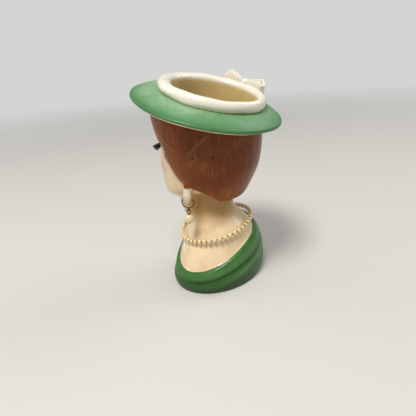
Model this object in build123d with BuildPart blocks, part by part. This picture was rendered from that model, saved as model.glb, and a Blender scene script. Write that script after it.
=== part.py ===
from build123d import *
from math import cos, exp, pi, radians, sin, sqrt, tan
import os

os.makedirs("parts", exist_ok=True)

# A head planter: a hollow glazed bust of a woman in a tilted hat, open at the crown.
# The face looks along -Y, her left is +X, and the origin is the middle of the base on the table.

# Casting
wall = 4.2
head_wall = 5.6
floor_thickness = 5.0
floor_rounding = 3.0
overrun = 12.0

# Bust: shoulders and neck
neck_height = 54.0
shoulder_half_width = 38.0
shoulder_half_depth = 30.3
shoulder_turn = -8.0

# Rows: height, shift to her left, shift back, half width, half depth, share of the turn
bust_shares = (
    (0.000, 0.000, 0.000, 0.940, 0.945, 1.0),
    (0.046, -0.008, 0.010, 0.985, 0.985, 1.0),
    (0.120, -0.021, 0.023, 1.000, 1.000, 1.0),
    (0.278, -0.065, 0.055, 0.950, 0.960, 1.0),
    (0.444, -0.093, 0.058, 0.868, 0.915, 0.8),
    (0.574, -0.100, 0.050, 0.770, 0.862, 0.5),
    (0.778, -0.045, 0.020, 0.605, 0.722, 0.0),
    (0.889, -0.022, -0.080, 0.535, 0.640, 0.0),
    (1.000, 0.000, -0.182, 0.505, 0.630, 0.0),
    (1.185, 0.000, -0.195, 0.495, 0.635, 0.0),
    (1.407, 0.000, -0.195, 0.475, 0.625, 0.0),
)

# Dress: a skin of cloth proud of the bust, with a folded collar along the neckline
dress_relief = 0.9
collar_relief = 2.0
neckline_height = 30.0
neckline_left_lean = 24.5
neckline_front_lean = 6.5
collar_foot_height = 21.0
collar_foot_left_lean = 18.0
collar_foot_front_lean = 1.0

# Head, from the chin up
chin_height = 59.5
head_height = 86.5
head_half_width = 32.0
head_half_depth = 34.5

# Rows: height, widest place back from the axis, reach forward, reach back, half width
head_shares = (
    (0.000, -0.750, 0.160, 0.180, 0.200),
    (0.029, -0.630, 0.390, 0.360, 0.410),
    (0.075, -0.430, 0.640, 0.600, 0.640),
    (0.121, -0.260, 0.830, 0.720, 0.780),
    (0.179, -0.150, 0.950, 0.740, 0.860),
    (0.249, -0.090, 1.000, 0.790, 0.912),
    (0.329, -0.060, 1.015, 0.870, 0.950),
    (0.422, -0.060, 1.008, 0.930, 0.978),
    (0.503, -0.060, 0.995, 0.955, 0.994),
    (0.584, -0.060, 1.003, 0.965, 1.000),
    (0.676, -0.060, 0.985, 0.970, 1.000),
    (0.769, -0.060, 0.955, 0.960, 0.990),
    (0.960, -0.060, 0.860, 0.900, 0.930),
)
face_section_shares = (
    0.000, 0.020, 0.045, 0.075, 0.105, 0.130, 0.155, 0.176, 0.195, 0.214, 0.238,
    0.270, 0.300, 0.330, 0.368, 0.420, 0.466, 0.500, 0.540, 0.590, 0.680, 0.960,
)
outline_points = 26
front_crowding = 1.3

# Rows: across from the middle, height, how proud, spread across, spread upwards
face_relief_shares = (
    (0.00, 0.510, 0.050, 0.100, 0.070),
    (0.00, 0.430, 0.095, 0.105, 0.065),
    (0.00, 0.335, 0.215, 0.125, 0.046),
    (0.13, 0.312, 0.075, 0.080, 0.030),
    (0.39, 0.500, -0.105, 0.210, 0.070),
    (0.41, 0.490, 0.085, 0.160, 0.038),
    (0.38, 0.575, 0.030, 0.260, 0.035),
    (0.50, 0.335, 0.045, 0.250, 0.080),
    (0.00, 0.215, 0.050, 0.280, 0.080),
    (0.00, 0.222, 0.048, 0.180, 0.020),
    (0.00, 0.194, -0.030, 0.200, 0.011),
    (0.00, 0.167, 0.056, 0.155, 0.021),
    (0.00, 0.124, -0.038, 0.200, 0.024),
    (0.00, 0.062, 0.070, 0.230, 0.045),
)

# Hair, a smooth cap proud of the head
hair_foot_height = 57.0
hair_height = 86.0
hair_half_width = 34.3
hair_half_depth = 39.0

# Rows: height, shift back, half width, half depth
hair_shares = (
    (0.000, 0.030, 0.385, 0.310),
    (0.040, 0.042, 0.540, 0.436),
    (0.093, 0.052, 0.656, 0.526),
    (0.163, 0.060, 0.772, 0.605),
    (0.244, 0.040, 0.872, 0.718),
    (0.333, 0.020, 0.942, 0.820),
    (0.460, -0.008, 0.985, 0.905),
    (0.600, -0.040, 1.000, 0.965),
    (0.730, -0.070, 0.998, 0.995),
    (0.865, -0.080, 0.982, 0.985),
    (1.000, -0.077, 0.962, 0.960),
)

# The hairline seen from her left, as places back and up, from the fringe to the nape
hairline_shares = (
    (-1.200, 0.715),
    (-0.960, 0.705),
    (-0.800, 0.640),
    (-0.640, 0.565),
    (-0.500, 0.515),
    (-0.510, 0.450),
    (-0.420, 0.400),
    (-0.300, 0.320),
    (-0.160, 0.250),
    (0.020, 0.215),
    (0.200, 0.165),
    (0.330, 0.090),
    (0.400, -0.040),
)

# Ears: only the pierced lobes show below the hair
lobe_across = 30.2
lobe_back = -2.4
lobe_foot_height = 65.3
lobe_length = 15.0
lobe_half_width = 2.9
lobe_half_thickness = 2.3

lobe_chamfer = 1.1

# Rows: height up the lobe, half its width there
lobe_shares = ((0.00, 0.34), (0.06, 0.68), (0.16, 0.90), (0.34, 1.00), (0.60, 0.90), (1.00, 0.55))

# Hat: everything on it is measured from the plane of the brim's edge
hat_tilt = 16.5
hat_height = 126.0
hat_back = -1.0
brim_radius = 51.0
brim_edge_radius = 1.5
brim_edge_flat_share = 0.45
brim_seat_height = 1.0
brim_underside_width = 7.0
brim_land_height = 6.2
brim_slope_width = 14.6
brim_dome = 1.1
mouth_back = 3.6

# Band round the mouth, with its widths measured in from the brim's land or out from its foot
band_back = 2.1
band_foot_margin = 1.6
band_belly = 1.4
band_belly_height = 3.4
band_shoulder_bulge = 0.4
band_shoulder_height = 5.8
band_ridge_inset = 2.0
band_height = 7.0
band_wall = 6.0
band_lip_overhang = 2.3
band_lip_height = 4.8

# Radii that follow from the brim
brim_seat_radius = brim_radius - brim_underside_width
brim_land_radius = brim_radius - brim_slope_width
band_foot_radius = brim_land_radius - band_foot_margin
band_radius = band_foot_radius + band_belly
band_shoulder_radius = band_foot_radius + band_shoulder_bulge
band_ridge_radius = band_foot_radius - band_ridge_inset
mouth_radius = band_foot_radius - band_wall
band_lip_radius = mouth_radius - band_lip_overhang

# Bow on her right of the band
bow_direction = 174.0
bow_clearance = 0.1
bow_foot_drop = 1.8
knot_width = 5.6
knot_depth = 7.4
knot_height = 11.0
knot_chamfer = 1.3
loop_spread = 14.5
loop_length = 15.0
loop_height = 14.0
loop_depth = 7.0
loop_ribbon = 1.9
loop_root_share = 0.6

# The loop seen from the side, as places along it from its middle and up, from its foot
loop_side_shares = (
    (0.34, 0.00),
    (0.47, 0.32),
    (0.44, 0.72),
    (0.20, 1.00),
    (-0.16, 0.90),
    (-0.50, 0.66),
)
tail_turn = 27.0
tail_length = 13.0
tail_width = 7.0
tail_root_width = 4.0
tail_thickness = 2.2
tail_notch = 2.6

# Lashes
lash_across = 13.2
lash_back = -32.5
lash_height = 100.4
lash_width = 15.0
lash_depth = 6.5
lash_root_depth = 5.0
lash_thickness = 0.7
lash_drop = 14.0
lash_turn = 21.0

# Earrings
wire_radius = 0.32
wire_sides = 4
link_clearance = 0.2
link_sides = 12
hole_radius = 0.42
hole_height = 68.3
hoop_turn = 14.0
hoop_half_width = 4.3
hoop_shoulder_radius = 1.4
hoop_ring_radius = 1.1
eye_radius = 1.4
pearl_radius = 3.3
pearl_sides = 16
pearl_chamfer_share = 0.57
pearl_clearance = 0.06
pin_head_radius = 0.7
pin_head_length = 0.4

# Necklace, a loose ring of beads lying on the shoulders
necklace_height = 40.0
necklace_left_lean = 10.0
necklace_front_lean = 9.5
necklace_radius = 26.8
bead_count = 45
bead_radius = 1.82
bead_gap = 0.22
bead_sides = 6
bead_chamfer_share = 0.5
bead_clearance = 0.08
thread_half_width = 0.28


def leaning_plane(height, left_lean, front_lean):
    # A level plane tipped down towards her left and towards the front
    return Plane(
        origin=(0, 0, height),
        x_dir=(1, 0, -tan(radians(left_lean))),
        z_dir=(tan(radians(left_lean)), -tan(radians(front_lean)), 1),
    )


def eased_row(rows, at):
    # A smooth curve through the rows of a table, read at one value of the first column
    last = len(rows) - 1
    start = max(i for i in range(last) if rows[i][0] <= at or i == 0)
    a, b = rows[start], rows[start + 1]
    before, after = rows[max(start - 1, 0)], rows[min(start + 2, last)]
    span = b[0] - a[0]
    t = (at - a[0]) / span
    values = []
    for p, q, r, s in zip(before[1:], a[1:], b[1:], after[1:]):
        leave = span * (r - p) / (b[0] - before[0]) - (r - q)
        arrive = span * (s - q) / (after[0] - a[0]) - (r - q)
        values.append(q + t * (r - q) + t * (1 - t) * ((1 - t) * leave - t * arrive))
    return values


def face_relief(across, up):
    # How far the features stand forward of the plain head, as a share of its half width
    proud = 0
    for middle, height, depth, wide, tall in face_relief_shares:
        for side in {middle, -middle}:
            proud += depth * exp(-(((across - side) / wide) ** 2) - ((up - height) / tall) ** 2)
    return proud


def head_outline(up):
    # One level outline of the head, with its points closest together on the face
    widest, forward, back, wide = eased_row(head_shares, up)
    half = outline_points // 2
    points = []
    for i in range(outline_points):
        step = i - outline_points if i > half else i
        turn = pi * (abs(step) / half) ** front_crowding
        across = wide * sin(turn) * (1 if step > 0 else -1)
        reach = forward if cos(turn) > 0 else back
        y = head_half_depth * (widest - reach * cos(turn))
        if cos(turn) > 0:
            y -= head_half_width * face_relief(across, up) * sqrt(cos(turn))
        points.append(Vector(head_half_width * across, y))
    return points


def head_section(up):
    # Even parameters on each closed curve make the stacked outlines match each other
    points = head_outline(up)
    even = [i / outline_points for i in range(outline_points + 1)]
    with BuildSketch(Plane.XY.offset(chin_height + head_height * up)) as section:
        with BuildLine():
            add(Edge.make_spline(points, periodic=True, parameters=even))
        make_face()
    return section.sketch


def level_ellipse(origin, half_width, half_depth, turn=0):
    with BuildSketch(Plane(origin)) as section:
        Ellipse(half_width, half_depth, rotation=turn)
    return section.sketch


def bust_section(row, grow):
    # One level section of the bust, made larger or smaller all round
    up, left, back, wide, deep, turned = row
    return level_ellipse(
        (shoulder_half_width * left, shoulder_half_depth * back, neck_height * up),
        shoulder_half_width * wide + grow,
        shoulder_half_depth * deep + grow,
        shoulder_turn * turned,
    )


def bust_sections(grow):
    return [bust_section(row, grow) for row in bust_shares]


def hair_section(row):
    up, back, wide, deep = row
    origin = (0, hair_half_depth * back, hair_foot_height + hair_height * up)
    return level_ellipse(origin, hair_half_width * wide, hair_half_depth * deep)


def hat_place(back, height):
    # A place on the hat, parallel to the brim
    origin = hat_plane.from_local_coords(Vector(0, back, height))
    return Plane(origin, x_dir=hat_plane.x_dir, z_dir=hat_plane.z_dir)


def upright(place):
    # The plane through a place's own axis, with x outwards and y up
    return Plane(place.origin, x_dir=place.x_dir, z_dir=-place.y_dir)


def mouth_section(height):
    with BuildSketch(hat_place(mouth_back, height)) as section:
        Circle(mouth_radius)
    return section.sketch


def bow_place(direction, height, hand):
    # A place against the band, with x along the band away from the knot and z up
    turn = radians(direction)
    radius = band_radius + bow_clearance
    middle = hat_place(band_back, brim_land_height)
    origin = middle.from_local_coords(Vector(radius * cos(turn), radius * sin(turn), height))
    along = (middle.x_dir * sin(turn) - middle.y_dir * cos(turn)) * hand
    return Plane(origin, x_dir=along, z_dir=middle.z_dir)


def lash_plane(side):
    # The plane of a lash strip at the eye, with x across the face and y forward
    turn, drop = radians(lash_turn), radians(lash_drop)
    across = Vector(cos(turn), side * sin(turn), 0)
    forward = Vector(side * sin(turn), -cos(turn), -tan(drop))
    return Plane(
        (side * lash_across, lash_back, lash_height), x_dir=across, z_dir=across.cross(forward)
    )


def ear_plane(side):
    # The upright plane of an ear wire at rest, with x running back through the pierced lobe
    turn = radians(hoop_turn)
    return Plane(
        (side * lobe_across, lobe_back, hole_height),
        x_dir=(-side * sin(turn), cos(turn), 0),
        z_dir=(cos(turn), side * sin(turn), 0),
    )


hat_plane = Plane(
    origin=(0, hat_back, hat_height),
    x_dir=(1, 0, 0),
    z_dir=(0, sin(radians(hat_tilt)), cos(radians(hat_tilt))),
)
crown_plane = hat_place(0, brim_seat_height)
neckline_plane = leaning_plane(neckline_height, neckline_left_lean, neckline_front_lean)
collar_foot_plane = leaning_plane(
    collar_foot_height, collar_foot_left_lean, collar_foot_front_lean
)
necklace_plane = leaning_plane(necklace_height, necklace_left_lean, necklace_front_lean)

# Head with its face
with BuildPart() as head:
    loft([head_section(up) for up in face_section_shares], ruled=True)

# Hair, trimmed along the hairline on both sides at once
hairline = [
    (hair_half_depth * back, hair_foot_height + hair_height * up) for back, up in hairline_shares
]
hair_back = brim_radius + overrun
hair_top = hair_foot_height + hair_height + overrun
with BuildPart() as hair:
    loft([hair_section(row) for row in hair_shares])
    with BuildSketch(Plane.YZ):
        with BuildLine():
            Spline(hairline)
            Polyline(
                hairline[-1],
                (hair_back, hairline[-1][1]),
                (hair_back, hair_top),
                (hairline[0][0], hair_top),
                hairline[0],
            )
        make_face()
    extrude(amount=brim_radius, both=True, mode=Mode.INTERSECT)

# Dress, everything below the neckline
with BuildPart() as dress:
    loft(bust_sections(dress_relief))
    split(bisect_by=neckline_plane, keep=Keep.BOTTOM)

# Collar, the folded band of cloth along the neckline
with BuildPart() as collar:
    loft(bust_sections(collar_relief))
    split(bisect_by=neckline_plane, keep=Keep.BOTTOM)
    split(bisect_by=collar_foot_plane, keep=Keep.TOP)

# Cavity, from the floor up through the neck and the head to the open mouth
floor_share = floor_thickness / neck_height
floor_row = [floor_share] + eased_row(bust_shares, floor_share)
cavity_sections = [bust_section(floor_row, -wall - floor_rounding)]
cavity_sections += [bust_section(row, -wall) for row in bust_shares[2:9:2] + bust_shares[9:10]]
for up, widest, forward, back, wide in head_shares[4:10:2]:
    middle = head_half_depth * (widest + (back - forward) / 2)
    cavity_sections.append(
        level_ellipse(
            (0, middle, chin_height + head_height * up),
            head_half_width * wide - head_wall,
            head_half_depth * (forward + back) / 2 - head_wall,
        )
    )
cavity_sections += [mouth_section(brim_seat_height), mouth_section(brim_seat_height + overrun)]
with BuildPart() as cavity:
    loft(cavity_sections, ruled=True)

# Ear lobes, one on each side
lobe_outline = [(half * lobe_half_width, up * lobe_length) for up, half in lobe_shares]
with BuildPart() as lobes:
    for side in (1, -1):
        with BuildSketch(
            Plane((side * lobe_across, lobe_back, lobe_foot_height), x_dir=(0, 1, 0), z_dir=(1, 0, 0))
        ):
            with BuildLine():
                Polyline(lobe_outline + [(-y, z) for y, z in reversed(lobe_outline)], close=True)
            make_face()
        extrude(amount=lobe_half_thickness, both=True)
    chamfer(lobes.faces().filter_by(Axis.X).edges(), lobe_chamfer)

# Vase body: bust, head, hair, ears and dress in one hollow casting
with BuildPart() as vase_body:
    loft(bust_sections(0))
    add(head.part)
    add(hair.part)
    add(dress.part)
    add(collar.part)
    add(lobes.part)
    split(bisect_by=crown_plane, keep=Keep.BOTTOM)
    add(cavity.part, mode=Mode.SUBTRACT)
    for side in (1, -1):
        with BuildSketch(Plane(ear_plane(side).origin, z_dir=ear_plane(side).x_dir)):
            RegularPolygon(hole_radius, link_sides)
        extrude(amount=hoop_half_width, both=True, mode=Mode.SUBTRACT)
vase_body.part.label = "vase_body"
export_step(vase_body.part, "parts/vase_body.step")

# Hat brim, a saucer with a flat seat below for the crown and a flat land above for the band
edge_middle = brim_radius - brim_edge_radius
dome_start = Vector(edge_middle, brim_edge_radius)
dome_end = Vector(brim_land_radius, brim_land_height)
dome_top = (dome_start + dome_end) / 2 + Vector(0, brim_dome)
with BuildPart() as hat_brim:
    with BuildSketch(upright(hat_plane)):
        with BuildLine():
            Polyline(
                (0, brim_land_height),
                (0, brim_seat_height),
                (brim_seat_radius, brim_seat_height),
                (edge_middle, -brim_edge_radius),
                (brim_radius, -brim_edge_radius * brim_edge_flat_share),
                (brim_radius, brim_edge_radius * brim_edge_flat_share),
                dome_start,
            )
            ThreePointArc(dome_start, dome_top, dome_end)
            Line(dome_end, (0, brim_land_height))
        make_face()
    revolve(axis=Axis(hat_plane.origin, hat_plane.z_dir))
    extrude(mouth_section(-overrun), amount=brim_radius, mode=Mode.SUBTRACT)
hat_brim.part.label = "hat_brim"
export_step(hat_brim.part, "parts/hat_brim.step")

# Hat band, a fat roll round the mouth with a flat foot and a lip that dips to the inside
band_place = hat_place(band_back, brim_land_height)
band_foot = (band_foot_radius, 0)
band_shoulder = (band_shoulder_radius, band_shoulder_height)
band_lip = (band_lip_radius, band_lip_height)
with BuildPart() as hat_band:
    with BuildSketch(upright(band_place)):
        with BuildLine():
            Line((0, 0), band_foot)
            ThreePointArc(band_foot, (band_radius, band_belly_height), band_shoulder)
            ThreePointArc(band_shoulder, (band_ridge_radius, band_height), band_lip)
            Polyline(band_lip, (0, band_lip_height), (0, 0))
        make_face()
    revolve(axis=Axis(band_place.origin, band_place.z_dir))
    extrude(mouth_section(-overrun), amount=brim_radius, mode=Mode.SUBTRACT)
hat_band.part.label = "hat_band"
export_step(hat_band.part, "parts/hat_band.step")

# Bow knot, a soft block on the brim against the band
knot_place = bow_place(bow_direction, -bow_foot_drop, 1)
bow_axis = Axis(knot_place.origin, knot_place.z_dir)
with BuildPart() as bow_knot:
    with BuildSketch(knot_place):
        with Locations((0, knot_depth / 2)):
            Rectangle(knot_width, knot_depth)
    extrude(amount=knot_height)
    chamfer(bow_knot.edges().filter_by(bow_axis), knot_chamfer)
    chamfer(bow_knot.faces().sort_by(bow_axis)[-1].edges(), knot_chamfer)
    add(hat_brim.part, mode=Mode.SUBTRACT)
bow_knot.part.label = "bow_knot"
export_step(bow_knot.part, "parts/bow_knot.step")

# Bow tails, two notched ends of ribbon that come from under the knot and lie on the brim
dome_slope = (dome_end - dome_start).get_angle(Vector(-1, 0))
tail_start = knot_place.origin + knot_place.z_dir * bow_foot_drop
tails = {}
for hand, name in ((-1, "bow_tail_front"), (1, "bow_tail_back")):
    level = Plane(tail_start, x_dir=knot_place.x_dir, z_dir=knot_place.z_dir)
    place = level.rotated((-dome_slope, 0, 0)).rotated((0, 0, -hand * tail_turn))
    with BuildPart() as bow_tail:
        with BuildSketch(place):
            with BuildLine():
                Polyline(
                    (-tail_root_width / 2, 0),
                    (tail_root_width / 2, 0),
                    (tail_width / 2, tail_length),
                    (0, tail_length - tail_notch),
                    (-tail_width / 2, tail_length),
                    close=True,
                )
            make_face()
        extrude(amount=tail_thickness)
        add(hat_band.part, mode=Mode.SUBTRACT)
        add(hat_brim.part, mode=Mode.SUBTRACT)
        add(bow_knot.part, mode=Mode.SUBTRACT)
    tails[hand] = bow_tail.part
    bow_tail.part.label = name
    export_step(bow_tail.part, f"parts/{name}.step")

# Bow loops, ribbon on edge: hollow when seen from above and a teardrop seen from the side
loop_side = [(loop_length * along, loop_height * up) for along, up in loop_side_shares]
for hand, name in ((-1, "bow_loop_front"), (1, "bow_loop_back")):
    place = bow_place(bow_direction - hand * loop_spread, -bow_foot_drop, hand)
    outward = hand * loop_depth
    start = -loop_length / 2
    bend_start = loop_length / 2 - loop_depth / 2
    with BuildPart() as bow_loop:
        with BuildSketch(place):
            with BuildLine():
                Polyline(
                    (bend_start, outward),
                    (start, outward * loop_root_share),
                    (start, 0),
                    (bend_start, 0),
                )
                ThreePointArc(
                    (bend_start, 0), (loop_length / 2, outward / 2), (bend_start, outward)
                )
            make_face()
            offset(amount=-loop_ribbon, mode=Mode.SUBTRACT)
        extrude(amount=loop_height)
        with BuildSketch(upright(place)):
            with BuildLine():
                Polyline(loop_side + [(start, 0)], close=True)
            make_face()
        extrude(amount=2 * loop_depth, both=True, mode=Mode.INTERSECT)
        add(hat_brim.part, mode=Mode.SUBTRACT)
        add(bow_knot.part, mode=Mode.SUBTRACT)
        add(tails[hand], mode=Mode.SUBTRACT)
    bow_loop.part.label = name
    export_step(bow_loop.part, f"parts/{name}.step")

# Lashes, a curved strip glued to each upper lid
for side, name in ((1, "eyelash_left"), (-1, "eyelash_right")):
    with BuildPart() as eyelash:
        with BuildSketch(lash_plane(side)):
            with BuildLine():
                ThreePointArc((-lash_width / 2, 0), (0, lash_depth), (lash_width / 2, 0))
                Polyline(
                    (lash_width / 2, 0),
                    (lash_width / 2, -lash_root_depth),
                    (-lash_width / 2, -lash_root_depth),
                    (-lash_width / 2, 0),
                )
            make_face()
        extrude(amount=lash_thickness)
        add(head.part, mode=Mode.SUBTRACT)
        add(hair.part, mode=Mode.SUBTRACT)
    eyelash.part.label = name
    export_step(eyelash.part, f"parts/{name}.step")

# Earring heights, measured down from the pierced hole
hoop_straight = hoop_half_width - hoop_shoulder_radius
hoop_foot = hoop_shoulder_radius + hoop_half_width
ring_foot = hoop_foot + 2 * hoop_ring_radius
eye_middle = ring_foot - 2 * wire_radius - link_clearance + eye_radius
eye_foot = eye_middle + eye_radius
pearl_middle = eye_foot + wire_radius + pearl_clearance + pearl_radius
pearl_foot = pearl_middle + pearl_radius + pearl_clearance

for side, hand in ((1, "left"), (-1, "right")):
    place = ear_plane(side)
    across_place = Plane(place.origin, x_dir=place.z_dir, z_dir=-place.x_dir)

    # Ear wire, a flat-topped hoop through the lobe with a small closed ring at its foot
    with BuildPart() as ear_wire:
        with BuildLine(place) as hoop:
            Line((-hoop_straight, 0), (hoop_straight, 0))
            JernArc((hoop_straight, 0), (1, 0), hoop_shoulder_radius, -90)
            JernArc((hoop_half_width, -hoop_shoulder_radius), (0, -1), hoop_half_width, -180)
            JernArc((-hoop_half_width, -hoop_shoulder_radius), (0, 1), hoop_shoulder_radius, -90)
        with BuildSketch(Plane(hoop.line @ 0, z_dir=place.x_dir)):
            RegularPolygon(wire_radius, wire_sides)
        sweep(path=hoop.line)
        with BuildSketch(across_place):
            with Locations((0, -hoop_foot - hoop_ring_radius)):
                RegularPolygon(hoop_ring_radius + wire_radius, link_sides)
                RegularPolygon(hoop_ring_radius - wire_radius, link_sides, mode=Mode.SUBTRACT)
        extrude(amount=wire_radius, both=True)
    ear_wire.part.label = f"ear_wire_{hand}"
    export_step(ear_wire.part, f"parts/ear_wire_{hand}.step")

    # Eye pin, linked in the ring, with a head that keeps the pearl on
    with BuildPart() as eye_pin:
        with BuildSketch(place):
            with Locations((0, -eye_middle)):
                RegularPolygon(eye_radius + wire_radius, link_sides)
                RegularPolygon(eye_radius - wire_radius, link_sides, mode=Mode.SUBTRACT)
        extrude(amount=wire_radius, both=True)
        with BuildSketch(Plane(place.from_local_coords(Vector(0, -eye_foot, 0)))):
            RegularPolygon(wire_radius, wire_sides)
        extrude(amount=eye_foot - pearl_foot)
        with BuildSketch(Plane(place.from_local_coords(Vector(0, -pearl_foot, 0)))):
            RegularPolygon(pin_head_radius, wire_sides)
        extrude(amount=-pin_head_length)
    eye_pin.part.label = f"eye_pin_{hand}"
    export_step(eye_pin.part, f"parts/eye_pin_{hand}.step")

    # Drop pearl, drilled from top to bottom
    pearl_place = Plane(place.from_local_coords(Vector(0, -pearl_middle, 0)))
    with BuildPart() as drop_pearl:
        with BuildSketch(pearl_place):
            RegularPolygon(pearl_radius, pearl_sides)
        extrude(amount=pearl_radius, both=True)
        chamfer(
            drop_pearl.faces().filter_by(Axis.Z).edges(), pearl_radius * pearl_chamfer_share
        )
        with BuildSketch(pearl_place):
            RegularPolygon(wire_radius + pearl_clearance, wire_sides)
        extrude(amount=pearl_radius, both=True, mode=Mode.SUBTRACT)
    drop_pearl.part.label = f"drop_pearl_{hand}"
    export_step(drop_pearl.part, f"parts/drop_pearl_{hand}.step")

# Necklace: one drilled bead, repeated along the sides of the ring that the thread makes
bead_pitch = 2 * necklace_radius * sin(pi / bead_count)
bead_length = bead_pitch - bead_gap
bore_half_width = thread_half_width + bead_clearance
with BuildPart() as bead:
    with BuildSketch(Plane.XZ):
        RegularPolygon(bead_radius, bead_sides)
    extrude(amount=bead_length / 2, both=True)
    chamfer(bead.faces().filter_by(Axis.Y).edges(), bead_radius * bead_chamfer_share)
    with BuildSketch(Plane.XZ):
        Rectangle(2 * bore_half_width, 2 * bore_half_width)
    extrude(amount=bead_length, both=True, mode=Mode.SUBTRACT)
with BuildPart(necklace_plane) as necklace_beads:
    ring_reach = necklace_radius * cos(pi / bead_count)
    with PolarLocations(ring_reach, bead_count, start_angle=180 / bead_count):
        add(bead.part)
necklace_beads.part.label = "necklace_beads"
export_step(necklace_beads.part, "parts/necklace_beads.step")

# Thread, tied in a ring that bends between the beads
with BuildPart() as necklace_thread:
    with BuildSketch(necklace_plane):
        RegularPolygon(necklace_radius + thread_half_width, bead_count)
        RegularPolygon(necklace_radius - thread_half_width, bead_count, mode=Mode.SUBTRACT)
    extrude(amount=thread_half_width, both=True)
necklace_thread.part.label = "necklace_thread"
export_step(necklace_thread.part, "parts/necklace_thread.step")
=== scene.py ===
from math import cos, pi, radians, sin, sqrt, tan

import bpy
import numpy as np
from bpy.props import FloatProperty, FloatVectorProperty, IntProperty, PointerProperty
from bpy.types import Operator, Panel, PropertyGroup
from mathutils import Matrix, Vector


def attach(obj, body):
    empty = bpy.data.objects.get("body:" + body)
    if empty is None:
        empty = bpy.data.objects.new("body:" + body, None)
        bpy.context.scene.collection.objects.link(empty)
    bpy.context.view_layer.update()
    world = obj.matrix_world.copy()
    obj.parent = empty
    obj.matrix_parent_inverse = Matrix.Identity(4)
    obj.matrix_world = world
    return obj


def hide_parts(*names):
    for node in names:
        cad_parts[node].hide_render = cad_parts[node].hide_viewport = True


bl_info = {
    "name": "Head planter",
    "version": (1, 0, 0),
    "blender": (4, 5, 0),
    "location": "3D View > Sidebar > Planter",
    "description": "Builds a glazed head planter with a hat, bow, lashes, earrings and pearls",
    "category": "Object",
}

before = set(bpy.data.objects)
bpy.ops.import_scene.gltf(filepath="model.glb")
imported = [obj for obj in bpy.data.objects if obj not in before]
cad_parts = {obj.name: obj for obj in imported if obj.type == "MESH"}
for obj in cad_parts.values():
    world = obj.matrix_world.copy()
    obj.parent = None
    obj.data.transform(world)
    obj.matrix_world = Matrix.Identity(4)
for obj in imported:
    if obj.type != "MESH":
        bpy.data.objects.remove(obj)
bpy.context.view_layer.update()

# Every size below is in millimetres unless its comment says otherwise, and meshes are in metres
MM = 0.001
SIDES = ((1, "left"), (-1, "right"))

# Head, as in the casting: height, widest place back, reach forward, reach back, half width
CHIN_HEIGHT = 59.5
HEAD_HEIGHT = 86.5
HEAD_HALF_WIDTH = 32.0
HEAD_HALF_DEPTH = 34.5
HEAD_ROWS = (
    (0.000, -0.750, 0.160, 0.180, 0.200),
    (0.029, -0.630, 0.390, 0.360, 0.410),
    (0.075, -0.430, 0.640, 0.600, 0.640),
    (0.121, -0.260, 0.830, 0.720, 0.780),
    (0.179, -0.150, 0.950, 0.740, 0.860),
    (0.249, -0.090, 1.000, 0.790, 0.912),
    (0.329, -0.060, 1.015, 0.870, 0.950),
    (0.422, -0.060, 1.008, 0.930, 0.978),
    (0.503, -0.060, 0.995, 0.955, 0.994),
    (0.584, -0.060, 1.003, 0.965, 1.000),
    (0.676, -0.060, 0.985, 0.970, 1.000),
    (0.769, -0.060, 0.955, 0.960, 0.990),
    (0.960, -0.060, 0.860, 0.900, 0.930),
)

# Face: across from the middle, height, how proud, spread across, spread upwards
FACE_ROWS = (
    (0.00, 0.510, 0.050, 0.100, 0.070),
    (0.00, 0.430, 0.095, 0.105, 0.065),
    (0.00, 0.335, 0.215, 0.125, 0.046),
    (0.13, 0.312, 0.075, 0.080, 0.030),
    (0.39, 0.500, -0.105, 0.210, 0.070),
    (0.41, 0.490, 0.085, 0.160, 0.038),
    (0.38, 0.575, 0.030, 0.260, 0.035),
    (0.50, 0.335, 0.045, 0.250, 0.080),
    (0.00, 0.215, 0.050, 0.280, 0.080),
    (0.00, 0.222, 0.048, 0.180, 0.020),
    (0.00, 0.194, -0.030, 0.200, 0.011),
    (0.00, 0.167, 0.056, 0.155, 0.021),
    (0.00, 0.124, -0.038, 0.200, 0.024),
    (0.00, 0.062, 0.070, 0.230, 0.045),
    (0.075, 0.296, -0.060, 0.032, 0.010),
    (0.00, 0.262, -0.014, 0.040, 0.022),
    (0.00, 0.1935, -0.022, 0.170, 0.0035),
)

# Painted face: how far across and how high its parts are
EYE_ACROSS = 13.0
LID_LEVEL = 104.0
LID_LINE_LEVEL = 100.6
BROW_LEVEL = 112.4
CHEEK_ACROSS = 19.0
CHEEK_LEVEL = 88.0
LIPS_LEVEL = 76.3
LIPS_HALF_WIDTH = 8.4

# Cap of hair, as in the casting: height, shift back, half width, half depth
HAIR_FOOT = 57.0
HAIR_HEIGHT = 86.0
HAIR_HALF_WIDTH = 34.3
HAIR_HALF_DEPTH = 39.0
HAIR_ROWS = (
    (0.000, 0.030, 0.385, 0.310),
    (0.040, 0.042, 0.540, 0.436),
    (0.093, 0.052, 0.656, 0.526),
    (0.163, 0.060, 0.772, 0.605),
    (0.244, 0.040, 0.872, 0.718),
    (0.333, 0.020, 0.942, 0.820),
    (0.460, -0.008, 0.985, 0.905),
    (0.600, -0.040, 1.000, 0.965),
    (0.730, -0.070, 0.998, 0.995),
    (0.865, -0.080, 0.982, 0.985),
    (1.000, -0.077, 0.962, 0.960),
)

# Hairline seen from her left, as places back and up, from the fringe to the nape
HAIRLINE = (
    (-46.8, 118.5),
    (-37.4, 117.6),
    (-31.2, 112.0),
    (-25.0, 105.6),
    (-19.5, 101.3),
    (-19.9, 95.7),
    (-16.4, 91.4),
    (-11.7, 84.5),
    (-6.2, 78.5),
    (0.8, 75.5),
    (7.8, 71.2),
    (12.9, 64.7),
    (15.6, 53.6),
)

# Raised lines and pinholes on the left of the hair, as places back and up
RIDGES = (
    ((-22.0, 112.5), (-15.0, 107.3), (-8.6, 102.0)),
    ((15.6, 111.4), (9.4, 105.8), (2.8, 99.8)),
)
PINHOLES = ((6.2, 98.0), (18.4, 98.7))

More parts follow.
